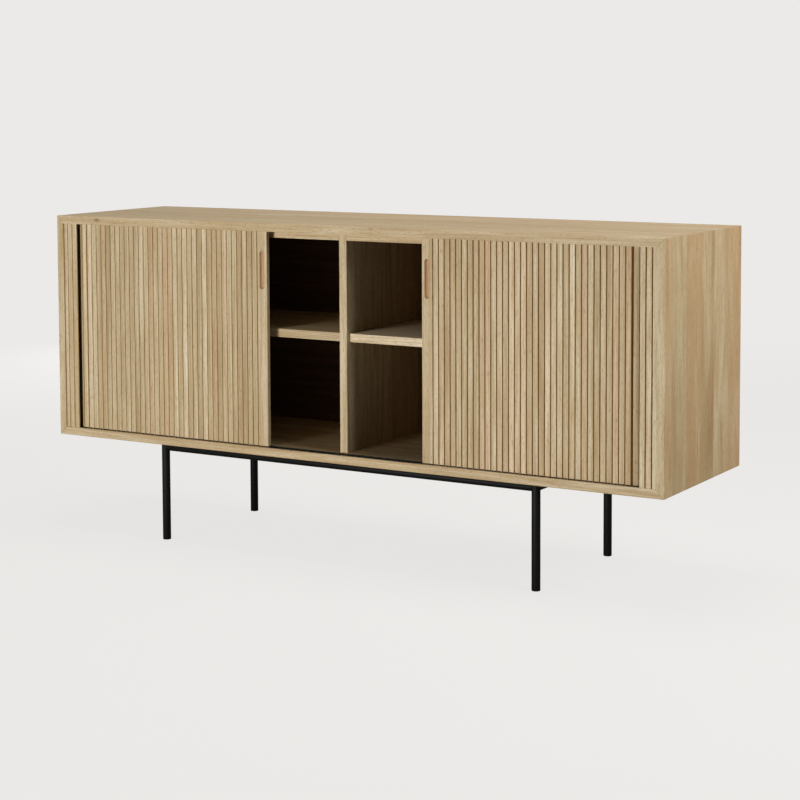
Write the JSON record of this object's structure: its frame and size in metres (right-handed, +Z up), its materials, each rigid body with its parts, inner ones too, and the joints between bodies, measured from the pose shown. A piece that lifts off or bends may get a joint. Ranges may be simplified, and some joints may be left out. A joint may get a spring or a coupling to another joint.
{
  "type": "tambour door cabinet",
  "caption": "Low oak cabinet with sliding tambour doors of narrow vertical slats, open bays in the middle and a black round-tube steel base.",
  "frame": {"origin": "on the floor under the middle of the cabinet", "axes": "+X along the width to the right seen from the front, front faces -Y, +Z up"},
  "size_m": [1.65, 0.44, 0.795],
  "materials": {
    "oak": "oiled oak, matte",
    "oak_plywood": "oak-faced plywood, matte",
    "canvas": "woven cotton canvas",
    "black_steel": "black powder coat, satin",
    "zinc_steel": "zinc plated",
    "black_plastic": "matte black"
  },
  "bodies": {
    "case": {"top_panel": "oak", "bottom_panel": "oak", "left_side_panel": "oak", "right_side_panel": "oak", "left_end_strip": "oak", "right_end_strip": "oak", "centre_divider": "oak", "left_shelf": "oak", "right_shelf": "oak", "left_top_rail": "oak", "right_top_rail": "oak", "back_panel": "oak_plywood", "inner_back": "oak_plywood", "left_inner_side": "oak_plywood", "right_inner_side": "oak_plywood", "mitre_splines": "oak_plywood", "front_rail": "black_steel", "back_rail": "black_steel", "left_side_rail": "black_steel", "right_side_rail": "black_steel", "front_left_leg": "black_steel", "front_right_leg": "black_steel", "back_left_leg": "black_steel", "back_right_leg": "black_steel", "mounting_plates": "black_steel", "shelf_pins": "zinc_steel", "plate_screws": "zinc_steel", "back_panel_screws": "zinc_steel", "foot_glides": "black_plastic"},
    "left_door": {"left_lead_stile": "oak", "left_slats": "oak", "left_canvas": "canvas"},
    "right_door": {"right_lead_stile": "oak", "right_slats": "oak", "right_canvas": "canvas"}
  },
  "joints": [
    {"name": "left_door_slide", "type": "slide", "parent": "case", "child": "left_door", "axis": [1, 0, 0], "range_m": [-0.515, 0.1945], "deforming": ["left_slats", "left_canvas"]},
    {"name": "right_door_slide", "type": "slide", "parent": "case", "child": "right_door", "axis": [-1, 0, 0], "range_m": [-0.482, 0.2275], "deforming": ["right_slats", "right_canvas"]}
  ]
}
